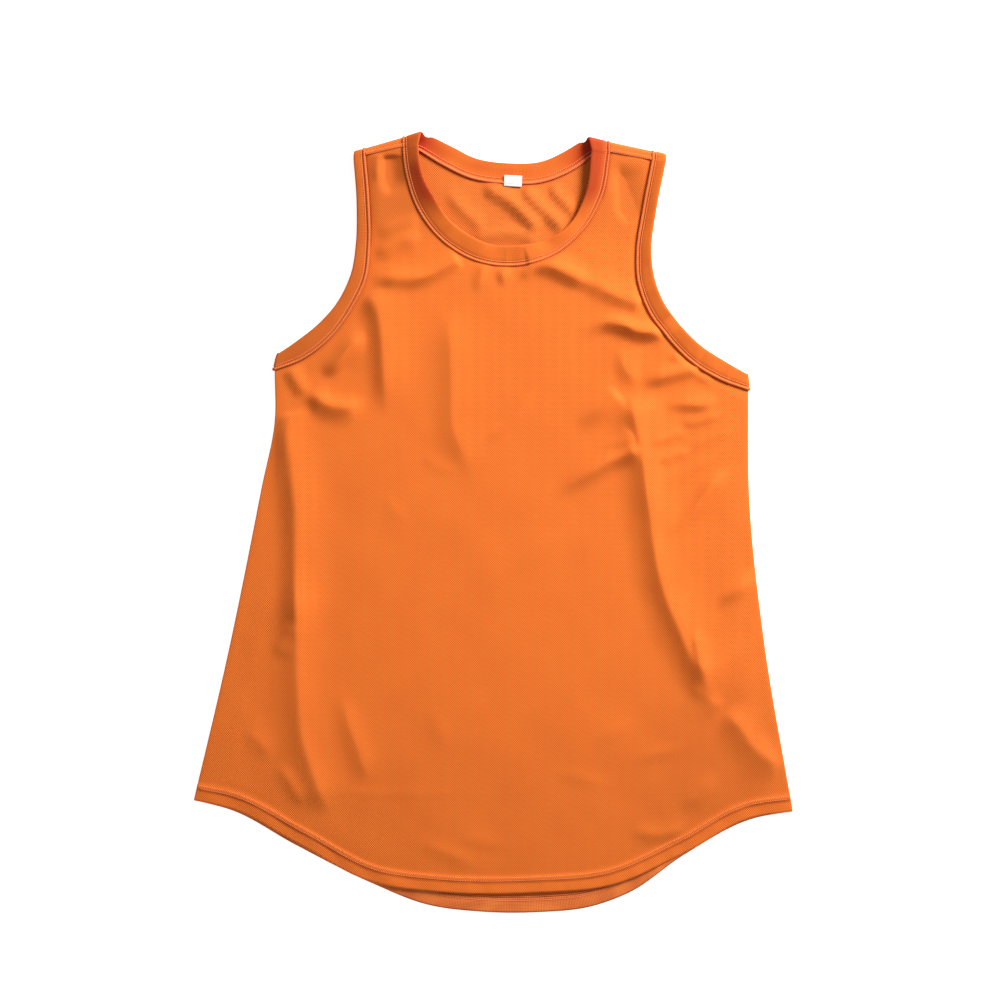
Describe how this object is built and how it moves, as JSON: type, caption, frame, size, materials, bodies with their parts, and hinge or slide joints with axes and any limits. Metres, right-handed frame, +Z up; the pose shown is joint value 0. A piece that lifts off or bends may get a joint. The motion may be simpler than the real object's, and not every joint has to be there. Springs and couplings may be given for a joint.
{
  "type": "running singlet laid flat",
  "caption": "Sleeveless running top in fine pique knit with a scooped banded neck, banded armholes and a curved shirt-tail hem, laid flat front up.",
  "frame": {"origin": "centre of the laid garment's bounding box, on the surface that it lies on", "axes": "+Z up off the surface, +Y from the hem to the shoulders, +X to the wearer's left"},
  "size_m": [0.539, 0.7032, 0.0115],
  "materials": {
    "pique_knit": "matt fine pique knit",
    "jersey_band": "smooth folded jersey with a faint sheen",
    "label_tape": "smooth white woven tape"
  },
  "bodies": {
    "root": {"front_panel": "pique_knit", "back_panel": "pique_knit", "neck_band": "jersey_band", "armhole_band_right": "jersey_band", "armhole_band_left": "jersey_band", "label": "label_tape"}
  },
  "joints": []
}
